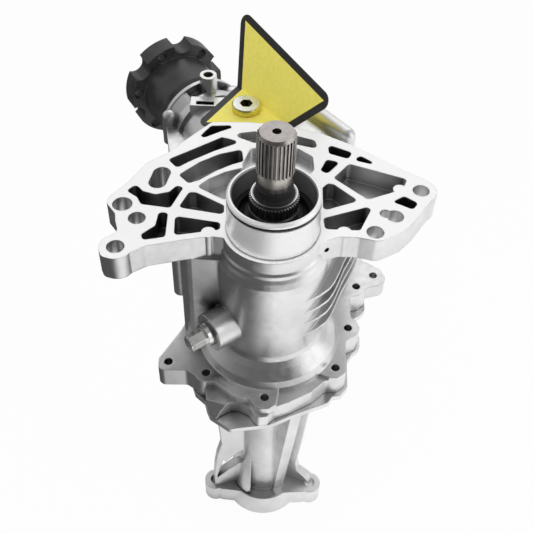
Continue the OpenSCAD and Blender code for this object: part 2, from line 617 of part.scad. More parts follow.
module end_cover() color("silver") difference() {
    union() {
        translate([0, 0, cover_bottom_z]) cover_plate(cover_flange_t);
        rotate_extrude() polygon([[0, -end_depth], [tube_d / 2, -end_depth], [tube_d / 2, cover_bottom_z - 70],
            [tube_d / 2 + 3, cover_bottom_z - 56], [input_bearing_od / 2 + 5, cover_bottom_z - 24],
            [52, cover_bottom_z - 8], [56, cover_bottom_z + 1], [0, cover_bottom_z + 1]]);
        on_transfer() translate([0, 0, cover_bottom_z - 16]) cylinder(d1 = transfer_bearing_od + 12, d2 = transfer_bearing_od + 20, h = 17);
        end_flange();
        cover_ribs();
        base_flare();
    }
    translate([0, 0, -end_depth - end_flange_t - 1]) cylinder(d = tube_bore_d, h = end_depth);
    translate([0, 0, lower_bearing_z - input_bearing_w]) cylinder(d = input_bearing_od, h = 60);
    translate([0, 0, lower_bearing_z - input_bearing_w - 6]) cylinder(d = input_bearing_od - 12, h = 60);
    on_transfer() translate([0, 0, lower_bearing_z - transfer_bearing_w]) cylinder(d = transfer_bearing_od, h = 40);
    translate([0, 0, -end_depth - end_flange_t - 1]) cylinder(d = link_bearing_od, h = end_flange_t + 1 + 20);
    for (p = cover_holes) translate([p[0], p[1], cover_bottom_z - 1]) cylinder(d = bolt_d + 0.8, h = cover_flange_t + 2, $fn = 36);
    for (p = dowel_places) translate([p[0], p[1], cover_top_z - 5]) cylinder(d = dowel_d, h = 6, $fn = 36);
    for (p = end_holes) translate([p[0], p[1], -end_depth - end_flange_t - 1]) cylinder(d = end_hole_d, h = end_flange_t + 2);
    front_groove();
}

// End flange: a tapered hub with three ears
module end_flange() translate([0, 0, -end_depth - end_flange_t]) {
    cylinder(h = end_flange_t, r1 = 38.4, r2 = 34.2);
    linear_extrude(height = end_flange_t) for (a = ear_angles) rotate(a) {
        translate([end_hole_radius, 0]) circle(r = 11);
        polygon(rounded([[8, -28], [34, -17], [end_hole_radius, -11], [end_hole_radius, 11], [34, 17], [8, 28]], 6));
    }
}

// An upright web: profile with x as the distance from the tube's axis, thickness and direction
module web(azimuth, thickness, profile) rotate([0, 0, azimuth]) rotate([90, 0, 0])
    translate([0, 0, -thickness]) linear_extrude(height = thickness) polygon(profile);

module cover_ribs() {
    top = cover_bottom_z + 1;
    foot = -end_depth - 2;
    web(-62, 11, [[8, foot], [25, foot], [25.5, foot + 9], [34.9, -275], [43.2, -213], [52, -150], [52, top], [8, top]]);
    web(-18, 8, [[8, foot], [52, foot], [46, foot + 10], [36, -332], [33.8, -318], [36.2, -293], [39.8, -246],
        [47, -150], [47, top], [8, top]]);
    web(198, 6, [[8, -290], [27, -293], [33.5, -299], [40.5, -307], [43.2, -302], [45.8, -312], [49.6, -330],
        [49.6, foot], [52.4, foot], [52, -328], [50.7, -307], [48.3, -289], [44.3, -272], [46, -244], [52, -150],
        [52, top], [8, top]]);
    web(196, 8, [[8, foot], [50, foot], [50, -334], [38, -322], [28, -314], [8, -314]]);
    web(94, 8, [[8, foot], [52, foot], [46, foot + 10], [36, -332], [33.8, -318], [39.8, -246], [47, -150], [47, top],
        [8, top]]);
}

// Flare of the tube above the hub, on the left
module base_flare() intersection() {
    translate([0, 0, -end_depth - 1]) cylinder(h = 61, r1 = 32.4, r2 = tube_d / 2 - 1);
    translate([-60, -28, -end_depth - 2]) cube([48, 60, 70]);
}

// Groove between the tube's foot and the hub's rim at the front
module front_groove() translate([0, 0, -end_depth - 2.6]) intersection() {
    ring(64.4, tube_d + 2, 4);
    rotate([0, 0, 25]) translate([-60, -60, 0]) cube([60, 60, 8]);
}

module cover_gasket() color("dimgray") translate([0, 0, cover_top_z]) difference() {
    linear_extrude(height = gasket_t) intersection() {
        polygon(rounded(cover_joint, 4));
        polygon(rounded(case_joint, 5));
    }
    translate([0, 0, -1]) cylinder(d = barrel_d - 2 * case_wall, h = 3);
    on_transfer() translate([0, 0, -1]) cylinder(r = ring_pitch_d / 2 + 5, h = 3);
    for (p = cover_holes) translate([p[0], p[1], -1]) cylinder(d = bolt_d + 0.8, h = 3, $fn = 36);
    for (p = dowel_places) translate([p[0], p[1], -1]) cylinder(d = dowel_d, h = 3, $fn = 36);
}

module dowel_pins() color("gray") for (p = dowel_places)
    translate([p[0], p[1], cover_top_z - 5 + gasket_t]) cylinder(d = dowel_d, h = 14, $fn = 36);

module cover_bolts() color("lightgray") for (p = cover_holes) translate([p[0], p[1], cover_bottom_z]) {
    cylinder(d = bolt_d - 1, h = bolt_len, $fn = 36);
    translate([0, 0, -2]) cylinder(d = bolt_head_d, h = 2, $fn = 36);
    translate([0, 0, -bolt_d * 0.8]) cylinder(d = bolt_head_d - 1.4, h = bolt_d * 0.8, $fn = 6);
}

module tube_seal() color("#202020") translate([0, 0, -end_depth - end_flange_t + 2])
    ring(link_bearing_od, spline_d + 4 + 2 * running_gap, 8);

module link_bearing_circlip() color("gray") translate([0, 0, link_bearing_z - link_bearing_w - 1.6])
    difference() {
        ring(link_bearing_od, link_bearing_od - 6, 1.6);
        translate([10, -3, -1]) cube([20, 6, 4]);
    }

module link_bearing_outer() color("silver") translate([0, 0, link_bearing_z - link_bearing_w]) bearing_outer(link_bearing_od, link_d, link_bearing_w);
module link_bearing_inner() color("silver") translate([0, 0, link_bearing_z - link_bearing_w]) bearing_inner(link_bearing_od, link_d, link_bearing_w);
module link_bearing_balls() color("silver") translate([0, 0, link_bearing_z - link_bearing_w]) bearing_balls(link_bearing_od, link_d, link_bearing_w);

module filler_washer() color("goldenrod") translate([filler_xy[0], filler_xy[1], filler_top + tag_t])
    ring(24, 18, 1.4);

tag_t = 0.8;
module filler_plug() color("#d8d6c0") translate([filler_xy[0], filler_xy[1], filler_top + tag_t + 1.4]) difference() {
    union() {
        translate([0, 0, -16]) cylinder(d = 18, h = 16);
        cylinder(d = 25.2, h = 4.5);
        translate([0, 0, 4.5]) cylinder(d1 = 25.2, d2 = 23.4, h = 1);
    }
    translate([0, 0, -6]) cylinder(d = 11.6, h = 20, $fn = 6);
}

// The tag is an equilateral triangle with rounded corners, folded along a line beside the plug.
// Its outline is laid out with x along the fold and y across it.
tag_side = 141;
tag_fold_from = [-36.6, 202.8];
tag_fold_angle = -51.4;
tag_lift = 68.4;
tag_tip_xy = [-71.7, 139.6];
tag_edge_angle = 60.9;
module tag_outline() rotate(-tag_fold_angle) translate(-tag_fold_from) polygon(rounded([for (a = [0, 60, 120])
    tag_tip_xy + (a == 0 ? 0 : tag_side) * [cos(tag_edge_angle - a + 60), sin(tag_edge_angle - a + 60)]], 8, 6));

module tag() color("gold") translate([tag_fold_from[0], tag_fold_from[1], filler_top]) rotate([0, 0, tag_fold_angle]) {
    linear_extrude(height = tag_t) difference() {
        tag_outline();
        translate([-100, 0]) square([300, 200]);
        rotate(-tag_fold_angle) translate(filler_xy - tag_fold_from) circle(d = 18);
    }
    translate([0, 0, tag_t / 2]) rotate([tag_lift, 0, 0]) translate([0, 0, -tag_t / 2]) linear_extrude(height = tag_t)
        difference() {
            tag_outline();
            translate([-100, -200.1]) square([300, 200]);
        }
}

drain_washer_t = 1.6;
module drain_washer() color("silver") at_drain() translate([0, 0, drain_reach]) ring(20, 14, drain_washer_t);
module drain_plug() color("silver") at_drain() translate([0, 0, drain_reach + drain_washer_t]) {
    translate([0, 0, -13.6]) cylinder(d = 14, h = 13.6);
    cylinder(d = 19, h = 3.4);
    translate([0, 0, 3.3]) cylinder(d = 13.6, h = 13.4, $fn = 6);
    translate([0, 0, 16]) cylinder(d = 11.4, h = 1.4, $fn = 36);
}

module input_upper_bearing_outer() color("silver") translate([0, 0, input_upper_z - input_bearing_w]) bearing_outer(input_bearing_od, input_seat_d, input_bearing_w);
module input_upper_bearing_inner() color("silver") translate([0, 0, input_upper_z - input_bearing_w]) bearing_inner(input_bearing_od, input_seat_d, input_bearing_w);
module input_upper_bearing_balls() color("silver") translate([0, 0, input_upper_z - input_bearing_w]) bearing_balls(input_bearing_od, input_seat_d, input_bearing_w);
module input_lower_bearing_outer() color("silver") translate([0, 0, lower_bearing_z - input_bearing_w]) bearing_outer(input_bearing_od, input_seat_d, input_bearing_w);
module input_lower_bearing_inner() color("silver") translate([0, 0, lower_bearing_z - input_bearing_w]) bearing_inner(input_bearing_od, input_seat_d, input_bearing_w);
module input_lower_bearing_balls() color("silver") translate([0, 0, lower_bearing_z - input_bearing_w]) bearing_balls(input_bearing_od, input_seat_d, input_bearing_w);

module input_shaft() color("#b8b0a6") difference() {
    union() {
        translate([0, 0, -10]) cylinder(d = input_d, h = input_top + 10 - 14);
        translate([0, 0, input_top - 14]) cylinder(d = input_d - 2.4, h = 14);
        translate([0, 0, input_top - 12]) linear_extrude(height = 9) polygon(spline_outline(46, input_d, 1.4));
        translate([0, 0, lower_bearing_z - input_bearing_w]) cylinder(d = input_seat_d, h = input_upper_z - lower_bearing_z + input_bearing_w);
        translate([0, 0, spur_bottom_z - 6]) cylinder(d = input_seat_d + 12, h = 6);
    }
    translate([0, 0, -200]) cylinder(d = input_bore_d, h = 300);
}

module drive_gear() color("#8f8f8c") translate([0, 0, spur_bottom_z]) rotate([0, 0, transfer_azimuth]) difference() {
    linear_extrude(height = spur_face) polygon(gear_outline(drive_teeth, spur_module, 0.4));
    translate([0, 0, -1]) cylinder(d = input_seat_d, h = spur_face + 2);
}

module link_shaft_seal() color("#202020") rotate_extrude() polygon([[link_d / 2 + running_gap, 24],
    [input_bore_d / 2, 24], [input_bore_d / 2, 33], [link_d / 2 + 1.7, 36], [link_d / 2 + 1.2, 41.4],
    [link_d / 2 + running_gap, 41.8]]);

// Lower end of the upper splines
spline_end_z = 54.8;
module link_shaft() color("#b5aca0") difference() {
    union() {
        translate([0, 0, spline_end_z]) linear_extrude(height = link_top - spline_end_z - 2.5)
            polygon(spline_outline(spline_teeth, spline_d, 1.5));
        translate([0, 0, spline_end_z]) cylinder(d = spline_d - 2.6, h = link_top - spline_end_z - 1);
        translate([0, 0, link_top - 2.5]) cylinder(d1 = spline_d - 1, d2 = spline_d - 3.8, h = 2.5);
        translate([0, 0, -end_depth]) cylinder(d = link_d, h = end_depth + spline_end_z + 1);
        translate([0, 0, -end_depth - end_flange_t + 2]) cylinder(d = spline_d + 4, h = end_flange_t + 4);
    }
    translate([0, 0, link_top - 12]) cylinder(d = 6.2, h = 20, $fn = 36);
    translate([0, 0, -end_depth - end_flange_t]) linear_extrude(height = 26) polygon(spline_outline(24, 25, 1));
}

module transfer_shaft() color("#9d9a94") on_transfer() {
    bottom = lower_bearing_z - transfer_bearing_w;
    difference() {
        union() {
            translate([0, 0, bottom]) cylinder(d = transfer_seat_d, h = transfer_upper_z - bottom);
            translate([0, 0, spur_bottom_z - 1]) cylinder(d = transfer_seat_d + 9, h = -spur_bottom_z + transfer_upper_z - transfer_bearing_w);
            translate([0, 0, ring_back_z - flange_seat_t]) cylinder(d = ring_bolt_circle + 16, h = flange_seat_t);
            translate([0, 0, ring_back_z - 1]) cylinder(d = ring_bore_d, h = 7);
        }
        for (i = [0:7]) rotate([0, 0, i * 45]) translate([ring_bolt_circle / 2, 0, ring_back_z - 20]) cylinder(d = 8.4, h = 30, $fn = 36);
    }
}

module driven_gear() color("#8f8f8c") on_transfer() translate([0, 0, spur_bottom_z])
    rotate([0, 0, transfer_azimuth + 180 + 180 / driven_teeth]) difference() {
        linear_extrude(height = spur_face - 3) polygon(gear_outline(driven_teeth, spur_module, 0.4));
        translate([0, 0, -1]) cylinder(d = transfer_seat_d + 9, h = spur_face + 2);
    }

module ring_gear() color("#8f8f8c") on_transfer() difference() {
    union() {
        translate([0, 0, -pinion_depth]) mirror([0, 0, 1]) {
            for (i = [0:ring_teeth - 1]) rotate([0, 0, output_azimuth + (i + 0.5) * 360 / ring_teeth]) bevel_tooth(ring_cone);
        }
        near = root_point(ring_cone, cone_dist - bevel_face);
        far = root_point(ring_cone, cone_dist);
        rotate_extrude() polygon([[ring_bore_d / 2, ring_back_z], [far[0] - 3, ring_back_z],
            [far[0], ring_back_z + 4], [far[0], -pinion_depth - far[1]], [near[0], -pinion_depth - near[1]],
            [ring_bore_d / 2, -pinion_depth - near[1] - 2]]);
    }
    for (i = [0:7]) rotate([0, 0, i * 45]) translate([ring_bolt_circle / 2, 0, ring_back_z - 1]) cylinder(d = 8, h = 8, $fn = 36);
}

module ring_gear_bolts() color("dimgray") on_transfer() for (i = [0:7]) rotate([0, 0, i * 45])
    translate([ring_bolt_circle / 2, 0, ring_back_z - flange_seat_t]) {
        cylinder(d = 8, h = flange_seat_t + 6.5, $fn = 36);
        translate([0, 0, -3]) cylinder(d = 12, h = 3, $fn = 6);
    }

module transfer_upper_bearing_outer() color("silver") on_transfer() translate([0, 0, transfer_upper_z - transfer_bearing_w]) bearing_outer(transfer_bearing_od, transfer_seat_d, transfer_bearing_w);
module transfer_upper_bearing_inner() color("silver") on_transfer() translate([0, 0, transfer_upper_z - transfer_bearing_w]) bearing_inner(transfer_bearing_od, transfer_seat_d, transfer_bearing_w);
module transfer_upper_bearing_balls() color("silver") on_transfer() translate([0, 0, transfer_upper_z - transfer_bearing_w]) bearing_balls(transfer_bearing_od, transfer_seat_d, transfer_bearing_w);
module transfer_lower_bearing_outer() color("silver") on_transfer() translate([0, 0, lower_bearing_z - transfer_bearing_w]) bearing_outer(transfer_bearing_od, transfer_seat_d, transfer_bearing_w);
module transfer_lower_bearing_inner() color("silver") on_transfer() translate([0, 0, lower_bearing_z - transfer_bearing_w]) bearing_inner(transfer_bearing_od, transfer_seat_d, transfer_bearing_w);
module transfer_lower_bearing_balls() color("silver") on_transfer() translate([0, 0, lower_bearing_z - transfer_bearing_w]) bearing_balls(transfer_bearing_od, transfer_seat_d, transfer_bearing_w);

module pinion_shaft() color("#9d9a94") on_output() {
    for (i = [0:pinion_teeth - 1]) rotate([0, 0, i * 360 / pinion_teeth]) bevel_tooth(pinion_cone);
    near = root_point(pinion_cone, cone_dist - bevel_face);
    far = root_point(pinion_cone, cone_dist);
    rotate_extrude() polygon([[0, near[1]], [near[0], near[1]], [far[0], far[1]], [far[0], pinion_inner_at - 1.5],
        [pinion_inner_seat_d / 2 + 4, pinion_inner_at - 1.5], [pinion_inner_seat_d / 2 + 4, pinion_inner_at],
        [pinion_inner_seat_d / 2, pinion_inner_at], [pinion_inner_seat_d / 2, pinion_inner_at + pinion_inner_w + 2],
        [pinion_seat_d / 2, pinion_inner_at + pinion_inner_w + 5], [pinion_seat_d / 2, seal_at - 6],
        [pinion_seat_d / 2 - 2, seal_at - 5], [pinion_seat_d / 2 - 2, output_len - 24],
        [9, output_len - 24], [9, output_len - 8], [0, output_len - 8]]);
}

module pinion_inner_bearing_cup() color("silver") on_output(pinion_inner_at) roller_cup(pinion_inner_od, pinion_inner_seat_d, pinion_inner_w);
module pinion_inner_bearing_cone() color("silver") on_output(pinion_inner_at) roller_cone(pinion_inner_od, pinion_inner_seat_d, pinion_inner_w);
module pinion_inner_bearing_rollers() color("silver") on_output(pinion_inner_at) rollers(pinion_inner_od, pinion_inner_seat_d, pinion_inner_w);
module pinion_outer_bearing_cup() color("silver") on_output(pinion_outer_at + pinion_outer_w) mirror([0, 0, 1]) roller_cup(pinion_outer_od, pinion_seat_d, pinion_outer_w);
module pinion_outer_bearing_cone() color("silver") on_output(pinion_outer_at + pinion_outer_w) mirror([0, 0, 1]) roller_cone(pinion_outer_od, pinion_seat_d, pinion_outer_w);
module pinion_outer_bearing_rollers() color("silver") on_output(pinion_outer_at + pinion_outer_w) mirror([0, 0, 1]) rollers(pinion_outer_od, pinion_seat_d, pinion_outer_w, 12);

module pinion_spacer() color("gray") on_output(pinion_inner_at + pinion_inner_w + 5.2) {
    span = pinion_outer_at - pinion_inner_at - pinion_inner_w - 5.2;
    rotate_extrude() polygon([[pinion_seat_d / 2, 0], [pinion_seat_d / 2 + 3, 0], [pinion_seat_d / 2 + 3, span * 0.35],
        [pinion_seat_d / 2 + 5, span * 0.5], [pinion_seat_d / 2 + 3, span * 0.65], [pinion_seat_d / 2 + 3, span],
        [pinion_seat_d / 2, span], [pinion_seat_d / 2, span * 0.65], [pinion_seat_d / 2 + 2, span * 0.5],
        [pinion_seat_d / 2, span * 0.35]]);
}

module pinion_seal() color("#202020") on_output(seal_at) difference() {
    cylinder(d = pinion_outer_od + 4, h = 10);
    translate([0, 0, -1]) cylinder(d = hub_d + 2 * running_gap, h = 12);
    translate([0, 0, -1]) ring(pinion_outer_od - 2, hub_d + 5, 8);
}

notch_phase = 10;
module output_flange() color("#3a3a3c") on_output() difference() {
    union() {
        translate([0, 0, seal_at - 4.9]) cylinder(d = hub_d, h = flange_back - seal_at + 5);
        translate([0, 0, neck_len + 1.5]) cylinder(d1 = output_barrel_d - 8, d2 = output_barrel_d, h = 10);
        translate([0, 0, neck_len + 11.5]) cylinder(d = output_barrel_d, h = flange_back - neck_len - 11);
        difference() {
            translate([0, 0, flange_back]) cylinder(d = output_flange_d, h = output_rim_t);
            for (i = [0:5]) rotate([0, 0, notch_phase + i * 60]) translate([output_flange_d / 2 + 1, 0, flange_back - 1])
                cylinder(r = 9.5, h = output_rim_t + 2, $fn = 48);
            for (i = [0:5]) rotate([0, 0, notch_phase + 30 + i * 60]) translate([output_bolt_circle / 2, 0, flange_back - 1])
                cylinder(d = 10.4, h = output_rim_t + 2, $fn = 36);
        }
    }
    translate([0, 0, output_len - 5]) cylinder(d = output_pilot_d, h = 6);
    translate([0, 0, output_len - 24]) cylinder(d = 36, h = 30);
    translate([0, 0, seal_at - 10]) cylinder(d = pinion_seat_d - 4, h = 100);
}

module pinion_nut() color("gray") on_output(output_len - 24) difference() {
    union() {
        cylinder(d = 34, h = 3);
        cylinder(d = 31, h = 13, $fn = 6);
    }
    translate([0, 0, -1]) cylinder(d = 18, h = 20);
}

main_case();
spigot();
spigot_o_ring();
input_seal();
end_cover();
cover_gasket();
dowel_pins();
cover_bolts();
tube_seal();
link_bearing_circlip();
filler_plug();
filler_washer();
tag();
drain_plug();
drain_washer();
input_upper_bearing_outer();
input_lower_bearing_outer();
transfer_upper_bearing_outer();
transfer_lower_bearing_outer();
link_bearing_outer();
pinion_inner_bearing_cup();
pinion_outer_bearing_cup();
pinion_seal();
input_shaft();
drive_gear();
input_upper_bearing_inner();
input_upper_bearing_balls();
input_lower_bearing_inner();
input_lower_bearing_balls();
link_shaft_seal();
link_shaft();
link_bearing_inner();
link_bearing_balls();
transfer_shaft();
driven_gear();
ring_gear();
ring_gear_bolts();
transfer_upper_bearing_inner();
transfer_upper_bearing_balls();
transfer_lower_bearing_inner();
transfer_lower_bearing_balls();
pinion_shaft();
pinion_inner_bearing_cone();
pinion_inner_bearing_rollers();
pinion_outer_bearing_cone();
pinion_outer_bearing_rollers();
pinion_spacer();
output_flange();
pinion_nut();
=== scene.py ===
# Looks of the transfer case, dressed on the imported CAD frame.
# Lengths are in metres. Z is the axis of the input and link shafts.
import json
import math

import bpy
from mathutils import Matrix, Vector


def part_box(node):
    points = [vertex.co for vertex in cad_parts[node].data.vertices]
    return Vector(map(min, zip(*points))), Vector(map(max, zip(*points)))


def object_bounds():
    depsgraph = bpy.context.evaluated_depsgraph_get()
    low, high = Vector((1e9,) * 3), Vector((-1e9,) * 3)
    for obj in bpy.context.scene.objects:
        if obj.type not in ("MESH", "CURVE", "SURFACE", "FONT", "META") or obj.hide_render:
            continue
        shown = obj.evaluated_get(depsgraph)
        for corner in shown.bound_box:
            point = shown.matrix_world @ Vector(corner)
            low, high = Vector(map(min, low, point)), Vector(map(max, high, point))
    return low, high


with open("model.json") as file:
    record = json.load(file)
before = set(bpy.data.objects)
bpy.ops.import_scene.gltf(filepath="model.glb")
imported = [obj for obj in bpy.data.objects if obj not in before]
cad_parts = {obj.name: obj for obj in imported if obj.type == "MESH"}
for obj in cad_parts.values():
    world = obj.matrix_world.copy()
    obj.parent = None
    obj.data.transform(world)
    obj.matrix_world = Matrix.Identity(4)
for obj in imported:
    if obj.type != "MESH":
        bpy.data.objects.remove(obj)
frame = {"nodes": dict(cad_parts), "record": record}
cad_low, cad_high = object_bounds()
nodes = frame["nodes"]
scene = bpy.context.scene

MM = 0.001

# Camera, fitted to the photo: side and focal length in pixels, place in millimetres, angles in radians
PHOTO_SIZE = 533
PHOTO_FOCAL = 815.33
CAMERA_AT = Vector((-2.47, -427.74, 413.09)) * MM
CAMERA_PITCH = 0.81694
CAMERA_ROLL = 0.03536
CAMERA_YAW = 0.00287
SENSOR_MM = 36.0
CLIP_NEAR = 0.01
CLIP_FAR = 20.0


def make_camera():
    data = bpy.data.cameras.new("photo_camera")
    data.sensor_width = SENSOR_MM
    data.lens = PHOTO_FOCAL / PHOTO_SIZE * SENSOR_MM
    data.clip_start = CLIP_NEAR
    data.clip_end = CLIP_FAR
    camera = bpy.data.objects.new("photo_camera", data)
    scene.collection.objects.link(camera)
    turn = Matrix.Rotation(CAMERA_YAW, 3, "Z")
    forward = turn @ Vector((0, math.cos(CAMERA_PITCH), -math.sin(CAMERA_PITCH)))
    level = turn @ Vector((1, 0, 0))
    raised = turn @ Vector((0, math.sin(CAMERA_PITCH), math.cos(CAMERA_PITCH)))
    right = level * math.cos(CAMERA_ROLL) + raised * math.sin(CAMERA_ROLL)
    up = raised * math.cos(CAMERA_ROLL) - level * math.sin(CAMERA_ROLL)
    pose = Matrix((right, up, -forward)).transposed().to_4x4()
    pose.translation = CAMERA_AT
    camera.matrix_world = pose
    scene.camera = camera


# Material helpers
class Shader:
    """A Principled material whose nodes are added one short call at a time."""

    def __init__(self, name):
        self.material = bpy.data.materials.new(name)
        self.material.use_nodes = True
        self.tree = self.material.node_tree
        self.body = self.tree.nodes["Principled BSDF"]
        self.coordinates = self.tree.nodes.new("ShaderNodeTexCoord").outputs["Object"]

    def set(self, **values):
        """Sets values on the shader's own sockets."""
        for name, value in values.items():
            self.body.inputs[name.replace("_", " ")].default_value = value
        return self

    def node(self, kind, links=(), **settings):
        """Adds a node, links or fills its sockets, and sets its settings."""
        made = self.tree.nodes.new("ShaderNode" + kind)
        for name, value in settings.items():
            setattr(made, name, value)
        for socket, source in dict(links).items():
            if isinstance(source, bpy.types.NodeSocket):
                self.tree.links.new(source, made.inputs[socket])
            else:
                made.inputs[socket].default_value = source
        return made

    def axes(self):
        """The point's X, Y and Z, in metres."""
        return self.node("SeparateXYZ", {0: self.coordinates}).outputs

    def noise(self, scale, detail=3.0, stretch=None):
        """Noise about 0.5, finer with a larger scale, longer along an axis whose stretch is below 1."""
        place = self.coordinates
        if stretch:
            place = self.node("Mapping", {"Vector": place, "Scale": stretch}).outputs[0]
        return self.node("TexNoise", {"Vector": place, "Scale": scale, "Detail": detail}).outputs["Fac"]

    def math(self, operation, first, second=0.0, clamp=False):
        return self.node("Math", {0: first, 1: second}, operation=operation, use_clamp=clamp).outputs[0]

    def spread(self, value, low, high, to_low=0.0, to_high=1.0):
        """Goes from to_low to to_high while the value goes from low to high."""
        links = {"Value": value, "From Min": low, "From Max": high, "To Min": to_low, "To Max": to_high}
        return self.node("MapRange", links).outputs[0]

    def ramp(self, value, stops):
        """A colour from stops, each a position and a colour."""
        made = self.node("ValToRGB", {0: value})
        first, last = made.color_ramp.elements
        first.position, first.color = stops[0][0], (*stops[0][1], 1)
        last.position, last.color = stops[-1][0], (*stops[-1][1], 1)
        for position, colour in stops[1:-1]:
            made.color_ramp.elements.new(position).color = (*colour, 1)
        return made.outputs[0]

    def mix(self, factor, first, second):
        """The first colour where the factor is 0 and the second where it is 1."""
        made = self.node("Mix", data_type="RGBA")
        for index, source in ((0, factor), (6, first), (7, second)):
            if isinstance(source, bpy.types.NodeSocket):
                self.tree.links.new(source, made.inputs[index])
            else:
                made.inputs[index].default_value = source if index == 0 else (*source, 1)
        return made.outputs[2]

    def drive(self, socket, source):
        """Links a source to one of the shader's sockets."""
        self.tree.links.new(source, self.body.inputs[socket])

    def bump(self, height, distance, strength, under=None):
        """A normal from a height, over the normal given as under where there is one."""
        links = {"Height": height, "Distance": distance, "Strength": strength}
        if under:
            links["Normal"] = under
        return self.node("Bump", links).outputs[0]


# Noise values at which a tone or a roughness has reached its two ends, for hard and for soft marks
HARD_MARKS = (0.35, 0.65)
SOFT_MARKS = (0.3, 0.7)

# Smallest upward part of the normal on a face that counts as level
LEVEL_LIMIT = 0.98

# Rays for each sample of the rounded edges and of the pockets
EDGE_RAYS = 6
POCKET_RAYS = 8


def grey(value):
    return (value, value, value)


def two_tones(shader, marks, low, high, span=HARD_MARKS):
    """A colour that goes from low to high with the marks."""
    return shader.ramp(marks, [(span[0], low), (span[1], high)])


def vary_roughness(shader, marks, low, high):
    """Lets the roughness go from low to high with the marks."""
    shader.drive("Roughness", shader.spread(marks, *SOFT_MARKS, low, high))


def from_axis(shader, x=0.0, y=0.0):
    """Distance from an upright line at x and y, in metres."""
    split = shader.axes()
    flat = shader.node("CombineXYZ", {"X": split["X"], "Y": split["Y"]}).outputs[0]
    return shader.node("VectorMath", {0: flat, 1: (x, y, 0)}, operation="DISTANCE").outputs["Value"]


def band(shader, value, low, high):
    """1 where the value lies between low and high."""
    above = shader.math("GREATER_THAN", value, low)
    below = shader.math("LESS_THAN", value, high)
    return shader.math("MULTIPLY", above, below)


def upward(shader):
    """1 on faces that look straight up at rest."""
    normal = shader.node("SeparateXYZ", {0: shader.node("TexCoord").outputs["Normal"]})
    return shader.math("GREATER_THAN", normal.outputs["Z"], LEVEL_LIMIT)


def rounded_normal(shader, radius):
    """A normal that turns smoothly over the edges, as if they had this radius."""
    made = shader.node("Bevel", {"Radius": radius})
    made.samples = EDGE_RAYS
    return made.outputs[0]


def edge_mask(shader, rounded, low=0.03, high=0.3):
    """Rises to 1 where the rounded normal leaves the face's own normal, which is at the edges."""
    own = shader.node("NewGeometry").outputs["Normal"]
    agree = shader.node("VectorMath", {0: rounded, 1: own}, operation="DOT_PRODUCT").outputs["Value"]
    return shader.spread(shader.math("SUBTRACT", 1.0, agree), low, high)


def openness(shader, distance, low, high):
    """1 in the open and 0 where walls stand close, within the distance, on most sides."""
    made = shader.node("AmbientOcclusion", {"Distance": distance})
    made.samples = POCKET_RAYS
    return shader.spread(made.outputs["AO"], low, high)


# Heights of the case's machined faces, and of the shallow floors just under the mounting face
MOUNTING_FACE_Z = 0.0
POST_TOP_Z = -0.011
SHALLOW_FLOOR_Z = -0.009
FACE_SLACK = 0.0006

# Places of the mounting flange's drilled holes and, last, the post's, in millimetres
DRILLED_AT = (
    (-111, -26),
    (-99.9, 4),
    (112.6, 45.8),
    (90.4, 16),
    (74.6, -1.7),
    (-112.7, 18.5),
    (83.5, 18.5),
    (-87.5, 55.5),
    (-89.5, 44.5),
    (-63.6, 207.9),
)

# How far round these places and how far down the bores are kept out of the painted shade, and the share of
# that shade kept off them
BORE_REACH = 0.0079
BORE_DEPTH_Z = -0.03
BORE_UNSHADED = 0.85


def drilled(shader):
    """1 inside the drilled holes of the mounting flange and the post."""
    nearest = None
    for x, y in DRILLED_AT:
        away = from_axis(shader, x * MM, y * MM)
        nearest = away if nearest is None else shader.math("MINIMUM", nearest, away)
    close = shader.math("LESS_THAN", nearest, BORE_REACH)
    return shader.math("MULTIPLY", close, shader.math("GREATER_THAN", shader.axes()["Z"], BORE_DEPTH_Z))


# Tones of the casting: its skin, the painted highlight on its edges, the shallow floors, kept out of the
# painted shade, and the machined faces
SKIN_STOPS = ((0.36, grey(0.74)), (0.5, grey(0.83)), (0.64, grey(0.90)))
CAST_EDGE_HIGHLIGHT = 0.95
SHALLOW_TONE = 0.9
CUT_TONE = 0.97

# Painted shade deep in a pocket: in the mounting flange, and below it on the left and on the right.
# Left and right differ as painted shade that follows the light, darker on the left, since the metal is the
# same.
POCKET_SHADE_FLANGE = 0.20
POCKET_SHADE_LEFT = 0.08
POCKET_SHADE_RIGHT = 0.6

# Where one painted pocket shade goes over into the other: up along Z, and from the left to the right along
# X
POCKET_Z = (-0.06, -0.04)
POCKET_X = (-0.03, -0.01)

# Reach within which walls darken each other in the pockets, as painted shade
POCKET_REACH = 0.02

# The same in narrow bores and grooves, and the painted shade deep in these
NARROW_REACH = 0.009
NARROW_SHADE = 0.08

# The machined faces are rougher and duller than the casting, so that they show white
CAST_ROUGHNESS = (0.28, 0.40)
CUT_ROUGHNESS = 0.5
CUT_METALLIC = 0.2


